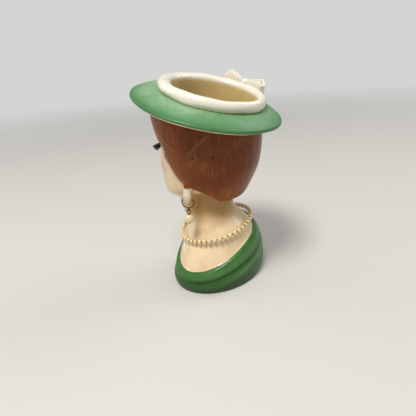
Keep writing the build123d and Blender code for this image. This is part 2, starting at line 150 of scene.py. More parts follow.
# Combed strands: how many go round the head, phase, drift on the way down, share of the height
STRANDS = (
    (37, 0.4, 0.030, 0.9),
    (58, 2.1, -0.022, 0.8),
    (83, 1.3, 0.041, 0.7),
    (112, 4.4, 0.015, 0.6),
    (23, 5.2, -0.035, 0.7),
)

# Radius on which the painted strands are laid out round the head
COMB_RADIUS = 34.0

# Hollow: height, middle across, middle back, half width, half depth, with half the wall added
HOLLOW_ROWS = (
    (4.0, -0.6, 0.5, 33.0, 25.6),
    (6.5, -0.8, 0.7, 35.8, 28.1),
    (24.0, -3.5, 1.8, 30.9, 25.6),
    (42.0, -1.7, 0.6, 20.9, 19.8),
    (54.0, 0.0, -5.5, 17.1, 17.0),
    (64.0, 0.0, -5.9, 16.7, 17.1),
    (75.0, 0.0, -8.8, 24.7, 26.4),
    (88.0, 0.0, -4.6, 27.6, 29.7),
    (103.0, 0.0, -2.8, 29.0, 30.8),
    (118.0, 0.0, 0.0, 31.0, 33.0),
    (136.0, 0.0, 0.0, 31.5, 33.5),
)

# Neckline, collar and necklace planes: height, lean to her left, lean to the front, in degrees
NECKLINE = (30.0, 24.5, 6.5)
COLLAR_FOOT = (21.0, 18.0, 1.0)
NECKLACE = (40.0, 10.0, 9.5)

# Hat, as in the casting
HAT_TILT = radians(16.5)
HAT_MIDDLE = (0.0, -1.0, 126.0)
MOUTH_RADIUS = 28.8
MOUTH_BACK = 3.6
BRIM_RADIUS = 51.0
BRIM_ROLL = 1.5
DOME_RADIUS = 36.4
DOME_HEIGHT = 6.2
DOME_RISE = 1.1
BAND_RADIUS = 36.2
BAND_BACK = 2.1

# Outline of the band from its foot, over the roll and down the mouth: out and up
BAND_OUTLINE = (
    *((34.4, 0.0), (34.8, 0.0), (35.6, 0.9), (36.1, 2.2), (36.2, 3.4), (36.0, 4.6)),
    *((35.3, 5.8), (34.2, 6.7), (32.9, 7.0), (31.5, 6.9), (30.2, 6.4), (29.3, 5.6)),
    *((28.75, 4.4), (28.5, 2.6), (28.45, 0.0), (28.4, -3.0), (28.4, -5.4), (28.25, -8.6)),
    *((28.2, -9.4), (28.6, -9.4), (28.7, -5.6), (28.7, -3.0), (28.72, 0.1), (29.3, 0.0)),
)

# Lashes: middle of the left one, its turn and droop, half width and reach
LASH_MIDDLE = (13.2, -32.5, 100.4)
LASH_TURN = radians(21.0)
LASH_DROOP = radians(14.0)
LASH_HALF_WIDTH = 7.0
LASH_REACH = 6.6

# Earrings: middle of the left lobe's bore, the ear's turn, and what hangs that far below the bore
LOBE = (30.2, -2.4, 68.3)
EAR_TURN = radians(14.0)
WIRE_RADIUS = 0.32
HOOP_RADIUS = 4.3
HOOP_BEND = 1.4
RING_RADIUS = 1.1
RING_BELOW = 6.8
EYE_RADIUS = 1.4
EYE_BELOW = 8.46
PEARL_RADIUS = 3.3
PEARL_BELOW = 13.54
PIN_BELOW = 16.95
KNOB_RADIUS = 0.7
KNOB_BELOW = (16.9, 17.3)

# Necklace
BEADS = 45
BEAD_RADIUS = 1.8
STRAND_RADIUS = 26.8
THREAD_RADIUS = 0.26

# Lamps: name, place in metres, power in watts, size in metres, colour
LAMPS = (
    ("lamp_key", (0.56, 0.06, 1.06), 11.0, 0.32, (1.0, 0.98, 0.94)),
    ("lamp_fill", (0.2, -0.95, 0.55), 1.6, 0.9, (0.97, 0.98, 1.0)),
    ("lamp_back", (-0.7, 0.5, 0.8), 3.0, 0.6, (1.0, 1.0, 1.0)),
)

# Camera: place in metres, its right, upward and backward directions, lens
VIEW_PLACE = (0.22254, 0.13637, 0.1576)
VIEW_RIGHT = (-0.5148, 0.85462, -0.06786)
VIEW_UPWARD = (-0.35545, -0.14074, 0.92404)
VIEW_BACKWARD = (0.78016, 0.49981, 0.37622)
VIEW_LENS = 32.88


def srgb(code):
    """A colour written as six hex digits, as the linear values that Blender uses."""
    channels = [int(code[i : i + 2], 16) / 255 for i in (0, 2, 4)]
    return tuple(c / 12.92 if c <= 0.04045 else ((c + 0.055) / 1.055) ** 2.4 for c in channels)


def paint(name, description, code):
    return FloatVectorProperty(
        name=name, description=description, subtype="COLOR", size=3, min=0, max=1, default=srgb(code)
    )


class PlanterColours(PropertyGroup):
    """Colours of the glazes and paints"""

    skin: paint("Skin", "Cream glaze of the face, neck and shoulders", "EAD2AC")
    # Also carries the painted shadow of the hair below the hairline and on the nape
    skin_amber_and_shadow: paint("Skin shade", "Amber glaze that gathers in hollows", "AC8244")
    hair: paint("Hair", "Reddish brown paint of the hair", "96480A")
    hair_dark: paint("Hair core", "Dark brown between the brushed strands", "4E2000")
    hair_worn: paint("Hair wear", "Tan of worn edges and ridges", "BC8549")
    green: paint("Hat green", "Green paint of the hat", "4C8350")
    # Also a painted sheen towards the front of the brim
    green_pale: paint("Hat sage", "Paler rubbed green of the hat", "9DBD99")
    green_dark: paint("Hat edge", "Dark green near the edge of the brim", "255A2B")
    dress: paint("Dress green", "Green glaze of the dress", "3C7030")
    # Also painted shade in the groove towards the back and at the foot
    dress_dark_and_shade: paint("Dress groove", "Dark green in the folds of the dress", "18380F")
    # Also the painted highlight on the ear lobes
    white: paint("Band white", "White glaze of the band and bow", "E8E3D6")
    # Cream also serves as painted shade low on the band and bow and inside the loops
    cream: paint("Band cream", "Cream shade low on the band and bow", "D9C7A0")
    lining: paint("Lining", "Cream glaze inside the mouth", "CFBB86")
    # Also painted shade deep inside the bow's loops
    lining_tan: paint("Lining streaks", "Tan streaks inside the mouth", "C0A35C")
    lash: paint("Lash", "Black fibre of the lashes", "121110")
    metal: paint("Ear wire", "Tarnished metal of the ear wires", "4A3826")
    pearl: paint("Pearl", "Imitation pearl", "E0CC9C")
    # Also painted shade between touching beads of the necklace
    amber_wear_and_shade: paint("Pearl shade", "Amber shade round the bores of the pearls", "A8712F")
    thread: paint("Thread", "Thread of the necklace", "B98D52")
    lips: paint("Lips", "Rose paint of the lips", "B0473C")
    brow: paint("Brow", "Brown paint of the brows and lid lines", "5A3A22")
    floor: paint("Floor", "Pale studio floor", "CFCDC9")


def setting(kind, name, description, value, low, high):
    return kind(name=name, description=description, default=value, min=low, max=high)


class PlanterSizes(PropertyGroup):
    """Sizes that shape the finish, in millimetres"""

    grain: setting(FloatProperty, "Casting grain", "Size of the mesh of the bust", 0.9, 0.4, 3)
    bow_grain: setting(FloatProperty, "Bow grain", "Size of the mesh of the bow", 0.34, 0.2, 2)
    strand_depth: setting(FloatProperty, "Strand depth", "Depth of the combed strands", 0.05, 0, 1)
    fold_depth: setting(FloatProperty, "Fold depth", "Depth of the rolls of the dress", 0.8, 0, 2)
    lash_hairs: setting(IntProperty, "Lash hairs", "Hairs in each lash", 72, 8, 120)
    ring_steps: setting(IntProperty, "Hat steps", "Steps round the brim and the band", 144, 24, 256)


# Mesh helpers


def clear_selection():
    bpy.ops.object.select_all(action="DESELECT")


def hold(obj):
    """Makes one object the selected and active one."""
    clear_selection()
    obj.select_set(True)
    bpy.context.view_layer.objects.active = obj


def apply_modifier(obj, kind, **settings):
    """Adds a modifier, sets it and applies it."""
    hold(obj)
    bpy.ops.object.modifier_add(type=kind)
    modifier = obj.modifiers[-1]
    for key, value in settings.items():
        setattr(modifier, key, value)
    bpy.ops.object.modifier_apply(modifier=modifier.name)


def edit_mesh(obj, *steps):
    """Runs mesh operators with their settings, each on the whole of an object's mesh."""
    hold(obj)
    bpy.ops.object.mode_set(mode="EDIT")
    for operator, settings in steps:
        bpy.ops.mesh.select_all(action="SELECT")
        operator(**settings)
    bpy.ops.object.mode_set(mode="OBJECT")


JOIN_DOUBLES = (bpy.ops.mesh.remove_doubles, {"threshold": 0.002 * MM})
FACE_OUTWARDS = (bpy.ops.mesh.normals_make_consistent, {"inside": False})


def merged_copy(node, name):
    """A copy of a CAD node's mesh with its loose triangles joined."""
    obj = bpy.data.objects.new(name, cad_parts[node].data.copy())
    bpy.context.scene.collection.objects.link(obj)
    obj.data.materials.clear()
    edit_mesh(obj, JOIN_DOUBLES)
    return obj


def rows_from(items, key):
    """One row of three numbers for each item of a mesh."""
    values = np.empty(len(items) * 3, np.float32)
    items.foreach_get(key, values)
    return values.reshape(-1, 3).astype(float)


def places_of(obj):
    """The points of a mesh in mm, one row each."""
    return rows_from(obj.data.vertices, "co") / MM


def normals_of(obj):
    return rows_from(obj.data.vertex_normals, "vector")


def put_places(obj, places):
    obj.data.vertices.foreach_set("co", (places * MM).astype(np.float32).ravel())
    obj.data.update()


def store(obj, name, values):
    """Keeps a number or a place for each point, for the material to read."""
    kind, key = ("FLOAT_VECTOR", "vector") if values.ndim == 2 else ("FLOAT", "value")
    kept = obj.data.attributes.new(name, kind, "POINT")
    kept.data.foreach_set(key, values.astype(np.float32).ravel())


def finish_piece(obj, name, body, finish, slot, *nodes):
    """Names a finished piece, gives it its material and lets it ride on its body."""
    hold(obj)
    bpy.ops.object.transform_apply(location=True, rotation=True, scale=True)
    bpy.ops.object.shade_smooth()
    obj.name = obj.data.name = name
    obj.data.materials.clear()
    obj.data.materials.append(finish.material)
    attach(obj, body)
    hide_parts(*nodes)


def join(pieces):
    """Joins objects into the first one."""
    hold(pieces[0])
    for piece in pieces[1:]:
        piece.select_set(True)
    bpy.ops.object.join()
    return pieces[0]


def shift(across, back, up):
    """A matrix that moves a mesh by millimetres."""
    return Matrix.Translation(Vector((across, back, up)) * MM)


def arc(out, up, radius, start, end, step):
    """Points on an arc about a middle, at angles in degrees from the start until the end."""
    angles = [radians(angle) for angle in range(start, end, step)]
    return [(out + radius * cos(angle), up + radius * sin(angle)) for angle in angles]


def spun(outline, steps):
    """A closed ring: an outline of (out, up) points in mm, spun about the upright axis."""
    clear_selection()
    bpy.ops.mesh.primitive_circle_add(vertices=len(outline), radius=MM, fill_type="NOTHING")
    obj = bpy.context.object
    for vertex, (out, up) in zip(obj.data.vertices, outline):
        vertex.co = (out * MM, 0, up * MM)
    spin = {"steps": steps, "angle": 2 * pi, "center": (0, 0, 0), "axis": (0, 0, 1)}
    edit_mesh(obj, (bpy.ops.mesh.spin, spin), JOIN_DOUBLES, FACE_OUTWARDS)
    return obj


def smooth_step(values, low, high):
    share = np.clip((values - low) / (high - low), 0, 1)
    return share * share * (3 - 2 * share)


def eased_row(rows, at):
    """A smooth curve through the rows of a table, read at one value of the first column."""
    last = len(rows) - 1
    start = max(i for i in range(last) if rows[i][0] <= at or i == 0)
    a, b = rows[start], rows[start + 1]
    before, after = rows[max(start - 1, 0)], rows[min(start + 2, last)]
    span = b[0] - a[0]
    t = (at - a[0]) / span
    values = []
    for p, q, r, s in zip(before[1:], a[1:], b[1:], after[1:]):
        leave = span * (r - p) / (b[0] - before[0]) - (r - q)
        arrive = span * (s - q) / (after[0] - a[0]) - (r - q)
        values.append(q + t * (r - q) + t * (1 - t) * ((1 - t) * leave - t * arrive))
    return values


def eased_columns(rows, at):
    """The columns of a table after its first, read on a smooth curve at many values of the first."""
    step = 0.005
    heights = np.linspace(0, rows[-1][0], round(rows[-1][0] / step) + 1)
    table = np.array([eased_row(rows, height) for height in heights])
    return [np.interp(at, heights, column) for column in table.T]


def smooth_line(points, parts):
    """More points on a smooth curve through the given ones."""
    points = np.array(points, float)
    padded = np.vstack([2 * points[0] - points[1], points, 2 * points[-1] - points[-2]])
    line = []
    for i in range(len(points) - 1):
        a, b, c, d = padded[i : i + 4]
        square, cube = 2 * a - 5 * b + 4 * c - d, 3 * b - a - 3 * c + d
        for t in np.arange(parts) / parts:
            line.append(0.5 * (2 * b + t * (c - a) + t**2 * square + t**3 * cube))
    line.append(points[-1])
    return np.array(line)


def distance_to_line(points, line):
    """The least distance from each point to a line of straight runs, in a plane."""
    least = np.full(len(points), np.inf)
    for a, b in zip(line[:-1], line[1:]):
        run = b - a
        t = np.clip(((points - a) @ run) / (run @ run), 0, 1)
        least = np.minimum(least, np.linalg.norm(points - a - t[:, None] * run, axis=1))
    return least


def inside_outline(points, outline):
    """Which points lie inside a closed outline."""
    crossings = np.zeros(len(points), bool)
    for a, b in zip(outline, np.roll(outline, -1, axis=0)):
        spans = (a[1] > points[:, 1]) != (b[1] > points[:, 1])
        rise = b[1] - a[1] if b[1] != a[1] else 1e-9
        across = a[0] + (points[:, 1] - a[1]) * (b[0] - a[0]) / rise
        crossings ^= spans & (points[:, 0] < across)
    return crossings


def depth_below(places, plane):
    """How far each point lies below a leaning plane."""
    height, left, front = plane
    a, b = tan(radians(left)), tan(radians(front))
    level = height - a * places[:, 0] + b * places[:, 1]
    return (level - places[:, 2]) / sqrt(1 + a * a + b * b)


def about_axis(places):
    """How far points lie from the upright axis, and their turn about it."""
    return np.hypot(places[:, 0], places[:, 1]), np.arctan2(places[:, 0], places[:, 1])


def hat_matrix(height=0.0):
    """Takes a piece modelled flat at the origin to its place on the tilted hat."""
    turn = Matrix.Rotation(-HAT_TILT, 4, "X")
    return shift(*HAT_MIDDLE) @ turn @ shift(0, 0, height)


# Materials


class Shade:
    """A number of a material that can be used in sums."""

    def __init__(self, finish, socket):
        self.finish = finish
        self.socket = socket

    def math(self, operation, first, second=0.0):
        made = self.finish.node("ShaderNodeMath", {"operation": operation}, {0: first, 1: second})
        return Shade(self.finish, made.outputs[0])

    def __add__(self, other):
        return self.math("ADD", self, other)

    __radd__ = __add__

    def __sub__(self, other):
        return self.math("SUBTRACT", self, other)

    def __rsub__(self, other):
        return self.math("SUBTRACT", other, self)

    def __mul__(self, other):
        return self.math("MULTIPLY", self, other)

    __rmul__ = __mul__

    def __truediv__(self, other):
        return self.math("DIVIDE", self, other)

    def __pow__(self, other):
        return self.math("POWER", self, other)

    def size(self):
        return self.math("ABSOLUTE", self)

    def least(self, other):
        return self.math("MINIMUM", self, other)

    def most(self, other):
        return self.math("MAXIMUM", self, other)

    def step(self, low, high, start=0.0, end=1.0):
        """Goes smoothly from start to end as the number goes from low to high."""
        made = self.finish.node(
            "ShaderNodeMapRange",
            {"interpolation_type": "SMOOTHSTEP"},
            {"Value": self, "From Min": low, "From Max": high, "To Min": start, "To Max": end},
        )
        return Shade(self.finish, made.outputs[0])

    def bell(self, middle, spread):
        """One at the middle value, falling to nothing a spread away."""
        return (self - middle).size().step(spread, 0.0)


class NodeTree:
    """A tree of nodes that are all added by one method."""

    def __init__(self, owner):
        owner.use_nodes = True
        self.tree = owner.node_tree
        self.tree.nodes.clear()

    def node(self, kind, settings=None, values=None):
        """Adds a node: its settings first, then the values or links of its sockets."""
        made = self.tree.nodes.new(kind)
        for key, value in (settings or {}).items():
            setattr(made, key, value)
        for key, value in (values or {}).items():
            self.fill(made.inputs[key], value)
        return made

    def fill(self, socket, value):
        if isinstance(value, Shade):
            value = value.socket
        if isinstance(value, bpy.types.NodeSocket):
            self.tree.links.new(value, socket)
        elif socket.type == "RGBA" and len(value) == 3:
            socket.default_value = (*value, 1.0)
        else:
            socket.default_value = value


class Finish(NodeTree):
    """A material and the nodes of its pattern."""

    def __init__(self, name, **constants):
        self.material = bpy.data.materials.new(name)
        super().__init__(self.material)
        self.shader = self.node("ShaderNodeBsdfPrincipled", {}, constants)
        self.output = self.node("ShaderNodeOutputMaterial", {}, {"Surface": self.shader.outputs[0]})
        self.place = self.node("ShaderNodeTexCoord").outputs["Object"]

    def coordinates(self, place=None):
        """The three numbers of a place, in mm where it is the object's own."""
        made = self.node("ShaderNodeSeparateXYZ", {}, {0: place or self.place})
        parts = [Shade(self, output) for output in made.outputs]
        return parts if place else [part / MM for part in parts]

    def length(self, across, up):
        """The length of a vector from its two numbers."""
        joined = self.node("ShaderNodeCombineXYZ", {}, {0: across, 1: up}).outputs[0]
        made = self.node("ShaderNodeVectorMath", {"operation": "LENGTH"}, {0: joined})
        return Shade(self, made.outputs["Value"])

    def number(self, name):
        made = self.node("ShaderNodeAttribute", {"attribute_name": name})
        return Shade(self, made.outputs["Fac"])

    def vector(self, name, scale=(1.0, 1.0, 1.0)):
        made = self.node("ShaderNodeAttribute", {"attribute_name": name})
        mapped = self.node("ShaderNodeMapping", {}, {"Vector": made.outputs["Vector"], "Scale": scale})
        return mapped.outputs[0]

    def noise(self, size, detail=3.0, roughness=0.5, place=None, distortion=0.0):
        """Cloudy noise about 0.5, with patches of that size: in mm on the object's own place."""
        values = {"Vector": place or self.place, "Scale": 1.0 / size if place else 1.0 / (size * MM)}
        values.update({"Detail": detail, "Roughness": roughness, "Distortion": distortion})
        return Shade(self, self.node("ShaderNodeTexNoise", {}, values).outputs[0])

    def blend(self, amount, under, over):
        """One colour over another by an amount from nothing to one."""
        made = self.node("ShaderNodeMix", {"data_type": "RGBA"}, {0: amount, 6: under, 7: over})
        return made.outputs[2]

    def bump(self, height, depth, strength):
        """A normal that raises the surface by a depth in mm where the height is one."""
        values = {"Strength": strength, "Distance": depth * MM, "Height": height}
        return self.node("ShaderNodeBump", {}, values).outputs[0]

    def wear(self, colour, roughness, normal=None, **more):
        """Feeds the shader with what changes over the surface."""
        fed = {"Base Color": colour, "Roughness": roughness, **more}
        if normal is not None:
            fed["Normal"] = normal
        for key, value in fed.items():
            self.fill(self.shader.inputs[key], value)
        return self


def lining_colour(made, tints, z):
    """Cream glaze with tan streaks, turning tan further down inside."""
    drips = made.noise(7.0, 3.0, 0.5)
    amount = drips.step(0.35, 0.75) * 0.35 + z.step(136.0, 112.0) * 0.85
    return made.blend(amount.least(1.0), tints.lining, tints.lining_tan)


def face_paint(made, tints, skin, x, y, z):
    """Blush, closed lids, brows and lips on the front of the head."""
    front = y.step(-18.0, -24.0)
    side = x.size()
    blush = made.length(side - CHEEK_ACROSS, z - CHEEK_LEVEL).step(11.0, 2.0) * 0.42
    skin = made.blend(blush * front, skin, (0.72, 0.25, 0.17))
    off_eye = side - EYE_ACROSS
    lids = made.length(off_eye, (z - LID_LEVEL) * 1.9).step(8.0, 4.0) * 0.5
    skin = made.blend(lids * front, skin, (0.25, 0.22, 0.17))
    off_lid_line = (z - LID_LINE_LEVEL - off_eye * off_eye * 0.03).size()
    lid_line = off_lid_line.step(0.75, 0.45) * off_eye.size().step(7.6, 7.0)
    brow_width = off_eye.size().step(4.0, 9.5, 1.1, 0.25)
    off_brow = (z - BROW_LEVEL + (side - 12.0) * (side - 12.0) * 0.05).size()
    brow = (off_brow / brow_width).step(1.0, 0.6) * (side - 14.0).size().step(9.0, 8.0)
    skin = made.blend((lid_line * 0.9).most(brow * 0.85) * front, skin, tints.brow)

    above = z - LIPS_LEVEL
    share = side / LIPS_HALF_WIDTH
    arch = (1.0 - share * share).most(0.0)
    upper = arch * 3.3 - side.step(2.2, 0.0) * 0.55 - above - 0.1
    lower = arch**0.6 * 3.9 + above - 0.1
    lips = upper.step(-0.25, 0.25) * lower.step(-0.25, 0.25) * share.step(1.0, 0.96)
    lip_line = above.size().step(0.5, 0.15) * share.step(1.0, 0.9)
    skin = made.blend(lips * front * 0.92, skin, tints.lips)
    return made.blend(lip_line * lips * front * 0.7, skin, (0.12, 0.02, 0.015))


def hair_paint(made, tints, hair_edge, lobe_top, y, z):
    """Fine brushed strands, darker between, rubbed to tan on ridges and at the edge."""
    strand = made.vector("strand", (1.0, 0.035, 1.0))
    fine = made.noise(0.55, 3.0, 0.65, strand)
    broad = made.noise(3.2, 2.0, 0.5, strand, 0.4)
    depth = (fine * 0.8 + broad * 0.35).step(0.1, 0.95)
    thick = y.step(-12.0, 6.0) * z.step(66.0, 84.0) * 0.45
    hair = made.blend(depth * (1.0 - thick), tints.hair_dark, tints.hair)
    rub = made.noise(11.0, 4.0, 0.6).step(0.45, 0.75) * fine.step(0.35, 0.65)
    edge_rub = hair_edge.bell(0.7, 1.7) * (fine * 0.5 + 0.5) * (1.0 - lobe_top)
    ridge = made.number("ridge").step(0.3, 1.0)
    hair = made.blend((rub * 0.3 + edge_rub * 0.8 + ridge * 0.2).least(0.85), hair, tints.hair_worn)
    hair = made.blend(made.number("pinhole").step(0.3, 0.8), hair, (0.01, 0.006, 0.004))
    return hair, fine, broad


def dress_glaze(made, tints, y, z):
    """Green glaze, thin on the rolls, dark in the groove, with painted shade that deepens the groove
    towards the back and darkens the foot.
    """
    fold = made.number("fold")
    cloud = made.noise(7.0, 3.0, 0.6).step(0.35, 0.75) * 0.3
    # Painted shade: the groove darkens more towards the back
    groove = fold.step(0.0, -0.9) * (0.35 + y.step(-22.0, 6.0) * 0.5)
    dress = made.blend((cloud + groove).least(0.9), tints.dress, tints.dress_dark_and_shade)
    dress = made.blend(fold.step(0.3, 1.0) * 0.3, dress, tints.green_pale)
    # Painted shade: darker towards the foot
    return made.blend(z.step(0.0, 16.0, 0.9, 0.1), dress, tints.dress_dark_and_shade)


def bust_finish(tints):
    """Skin, hair, dress, lining and the painted face, all on one glazed casting."""
    made = Finish("bust_glaze", **{"Coat Roughness": 0.06, "IOR": 1.3})
    x, y, z = made.coordinates()
    hair_edge = made.number("hair_edge")
    wobble = made.noise(5.0, 3.0) - 0.5
    clouds = made.noise(16.0, 4.0, 0.55)
    speckle = made.noise(0.9, 2.0)

    # Cream skin, with amber gathered in patches, and painted shadow with amber under the hair and low on
    # the neck
    skin = made.blend(clouds.step(0.35, 0.8) * 0.45, tints.skin, tints.skin_amber_and_shadow)
    skin = made.blend(speckle.step(0.70, 0.80) * 0.14, skin, tints.skin_amber_and_shadow)
    # Painted shadow of the hair, mixed with amber glaze, on the nape and just below the hairline
    nape = z.step(43.0, 58.0) * z.step(74.0, 68.0) * y.step(-22.0, -6.0) * (clouds * 0.4 + 0.8)
    amber_and_shadow_under_hair = hair_edge.step(-4.0, 0.0) * 0.3
    skin = made.blend(amber_and_shadow_under_hair.most(nape).least(1.0), skin, tints.skin_amber_and_shadow)

    # Painted highlight: white on the lobes, which stand out of the hair
    out_of_hair = x.size() - 28.0 - (z - 72.0).most(0.0) * 0.3
    proud = out_of_hair.step(-0.2, 0.5) * y.step(2.0, 0.8) * y.step(-7.0, -5.6)
    lobe = proud * z.step(64.5, 65.5) * z.step(77.5, 75.5)
    skin = made.blend(lobe * (speckle * 0.4 + 0.2), skin, tints.white)
    skin = face_paint(made, tints, skin, x, y, z)

    hair, fine, broad = hair_paint(made, tints, hair_edge, proud * z.step(63.0, 66.0), y, z)
    hair_mask = (hair_edge + wobble * 0.5).step(-0.1, 0.2) * (1.0 - lobe)
    dress_mask = (made.number("dress_depth") + wobble * 0.25).step(-0.42, -0.24)
    colour = made.blend(hair_mask, skin, hair)
    colour = made.blend(dress_mask, colour, dress_glaze(made, tints, y, z))
    colour = made.blend(made.number("lining").step(0.45, 0.55), colour, lining_colour(made, tints, z))
    smears = made.noise(11.0, 3.0).step(0.3, 0.7, 0.26, 0.4)
    gloss = smears - hair_mask * 0.05 + dress_mask * 0.1
    relief = (fine * 0.5 + broad * 0.2) * hair_mask + speckle * 0.05 + clouds * 0.3
    coat = 0.62 - hair_mask * 0.55 - dress_mask * 0.45
    return made.wear(colour, gloss, made.bump(relief, 0.22, 0.8), **{"Coat Weight": coat})


def brim_finish(tints):
    """Satin green paint, rubbed pale over the dome, with a painted sheen that makes it paler towards the
    front, and cream below the edge.
    """
    made = Finish("hat_paint", **{"IOR": 1.45, "Coat Roughness": 0.35, "Coat Weight": 0.1})
    across, back, up = made.coordinates(made.vector("hat_place"))
    away = made.length(across, back)
    clouds = made.noise(14.0, 5.0, 0.6)
    rubbed = made.noise(5.0, 5.0, 0.7)
    fine = made.noise(0.8, 3.0, 0.6)
    rubbed_and_sheen = (clouds.step(0.3, 0.7) * 0.6 + 0.4) * away.step(50.5, 40.0) * (rubbed * 0.8 + 0.5)
    # Painted sheen: the pale is stronger towards the front of the hat
    rubbed_and_sheen = rubbed_and_sheen * back.step(34.0, 4.0, 0.35, 1.0)
    colour = made.blend(rubbed_and_sheen.least(0.9) * 0.85, tints.green, tints.green_pale)
    colour = made.blend(away.step(47.0, 51.0) * (1.0 - rubbed), colour, tints.green_dark)
    rim_wear = away.bell(50.4, 1.3) * rubbed.step(0.62, 0.7) * up.step(0.2, 1.2)
    colour = made.blend(rim_wear * 0.6, colour, tints.green_pale)
    seam = away.bell(DOME_RADIUS + 0.2, 2.4) * made.noise(3.0, 2.0).step(0.45, 0.65)
    colour = made.blend(seam * 0.55, colour, tints.green_pale)

    # A small curved scratch near the edge
    right_of = across + 5.0
    scratch = made.length(right_of, back - 46.8).bell(1.7, 0.5) * right_of.step(-0.5, 0.6)
    scratch = scratch * up.step(0.3, 1.0)
    colour = made.blend(scratch * 0.8, colour, tints.green_dark)
    under = (up + (rubbed - 0.5) * 0.9).step(-0.55, -0.95)
    colour = made.blend(under, colour, tints.cream)
    colour = made.blend(made.number("lining").step(0.4, 0.6), colour, tints.lining)
    relief = fine * 0.35 + rubbed * 0.7 + scratch * -0.8
    return made.wear(colour, rubbed.step(0.3, 0.7, 0.34, 0.5), made.bump(relief, 0.12, 0.7))


def white_finish(tints):
    """White glaze of the band and bow, with cream and tan painted shade low down and inside the bow's
    loops.
    """
    made = Finish("white_glaze", **{"IOR": 1.5, "Coat Weight": 0.5, "Coat Roughness": 0.08})
    clouds = made.noise(8.0, 4.0, 0.6)
    speckle = made.noise(0.7, 2.0)
    hollow = made.number("hollow")
    # Painted shade: cream low on the pieces and inside the loops, tan deep in the loops
    amount = made.number("low") * 0.6 + hollow * 0.7 + clouds.step(0.5, 0.8) * 0.25
    colour = made.blend(amount.least(0.95), tints.white, tints.cream)
    colour = made.blend(hollow.step(0.5, 1.0) * 0.4, colour, tints.lining_tan)
    colour = made.blend(made.number("mark") * 0.5, colour, tints.skin_amber_and_shadow)
    inner = lining_colour(made, tints, made.coordinates()[2])
    colour = made.blend(made.number("lining"), colour, inner)
    relief = clouds * 0.7 + speckle * 0.1
    return made.wear(colour, clouds.step(0.3, 0.7, 0.2, 0.36), made.bump(relief, 0.16, 0.7))


def lash_finish(tints):
    """Black fibre with grey dust and a painted grey sheen in patches."""
    made = Finish("lash_black", IOR=1.4)
    dust_and_sheen = made.noise(1.1, 3.0, 0.6)
    # Grey patches: dust and painted sheen
    colour = made.blend(dust_and_sheen.step(0.5, 0.8) * 0.4, tints.lash, (0.13, 0.12, 0.11))
    return made.wear(colour, dust_and_sheen.step(0.3, 0.7, 0.4, 0.6), made.bump(made.noise(0.3), 0.05, 0.5))


def metal_finish(tints):
    """Brass wire, tarnished brown with bright rubbed spots."""
    made = Finish("ear_metal", IOR=1.45)
    spots = made.noise(0.9, 3.0, 0.6)
    colour = made.blend(spots.step(0.58, 0.72) * 0.7, tints.metal, (0.42, 0.30, 0.14))
    metal = spots.step(0.3, 0.6, 0.75, 0.95)
    rough = spots.step(0.35, 0.7, 0.5, 0.28)
    return made.wear(colour, rough, made.bump(spots, 0.03, 0.6), Metallic=metal)


def pearl_finish(tints):
    """Pearl coat: pale crown, amber round the bore where it is worn and as painted shade between touching
    beads.
    """
    made = Finish("pearl_coat", **{"IOR": 1.6, "Coat Weight": 0.7, "Coat Roughness": 0.08})
    clouds = made.noise(2.2, 3.0, 0.6)
    # Amber round the bores: wear, and painted shade between touching beads
    worn_and_shaded = made.number("bore").step(0.35, 0.95) * 0.85 + clouds.step(0.55, 0.8) * 0.25
    colour = made.blend(worn_and_shaded.least(0.95), tints.pearl, tints.amber_wear_and_shade)
    return made.wear(colour, clouds.step(0.3, 0.7, 0.14, 0.26), made.bump(clouds, 0.03, 0.4))


def thread_finish(tints):
    """Twisted thread, browned with age."""
    made = Finish("thread_fibre", IOR=1.4)
    fibres = made.noise(0.25, 3.0, 0.6)
    colour = made.blend(fibres.step(0.3, 0.7), tints.thread, tints.amber_wear_and_shade)
    return made.wear(colour, fibres.step(0.3, 0.7, 0.7, 0.9), made.bump(fibres, 0.05, 0.8))


# Bust


def front_of_head(x, z):
    """Where the front of the head stands at places across and up, and how squarely it faces front."""
    up = (z - CHIN_HEIGHT) / HEAD_HEIGHT
    widest, forward, _, wide = eased_columns(HEAD_ROWS, up)
    share = np.clip(x / (HEAD_HALF_WIDTH * wide), -1, 1)
    facing = np.sqrt(1 - share**2)
    across = wide * share
    proud = np.zeros_like(x)
    for middle, height, depth, spread, tall in FACE_ROWS:
        for side in {middle, -middle}:
            proud += depth * np.exp(-(((across - side) / spread) ** 2) - ((up - height) / tall) ** 2)
    y = HEAD_HALF_DEPTH * (widest - forward * facing) - HEAD_HALF_WIDTH * proud * np.sqrt(facing)
    return y, facing


def on_hair(places, amount):
    """Draws points by an amount onto the smooth cap of the hair, apart from the ear lobes."""
    x, y, z = places.T
    up = (z - HAIR_FOOT) / HAIR_HEIGHT
    back, wide, deep = eased_columns(HAIR_ROWS, up)
    middle = HAIR_HALF_DEPTH * back
    reach = np.hypot(x / (HAIR_HALF_WIDTH * wide), (y - middle) / (HAIR_HALF_DEPTH * deep))
    reach = np.maximum(reach, 0.5)
    by_lobe = (np.abs(y - LOBE[1]) < 5.0) & (z < 83.0)
    amount = amount * (np.abs(reach - 1) < 0.05) * ~by_lobe
    amount = amount * smooth_step(up, 0.06, 0.16) * smooth_step(-up, -0.78, -0.70)
    moved = places.copy()
    moved[:, 0] += amount * (x / reach - x)
    moved[:, 1] += amount * ((y - middle) / reach + middle - y)
    return moved


def in_hollow(places):
    """Which points are on the lining, inside the middle of the wall."""
    x, y, z = places.T
    rows = np.array(HOLLOW_ROWS)
    left, back, wide, deep = (np.interp(z, rows[:, 0], rows[:, i]) for i in range(1, 5))
    return (((x - left) / wide) ** 2 + ((y - back) / deep) ** 2 < 1) & (z > 2.5)


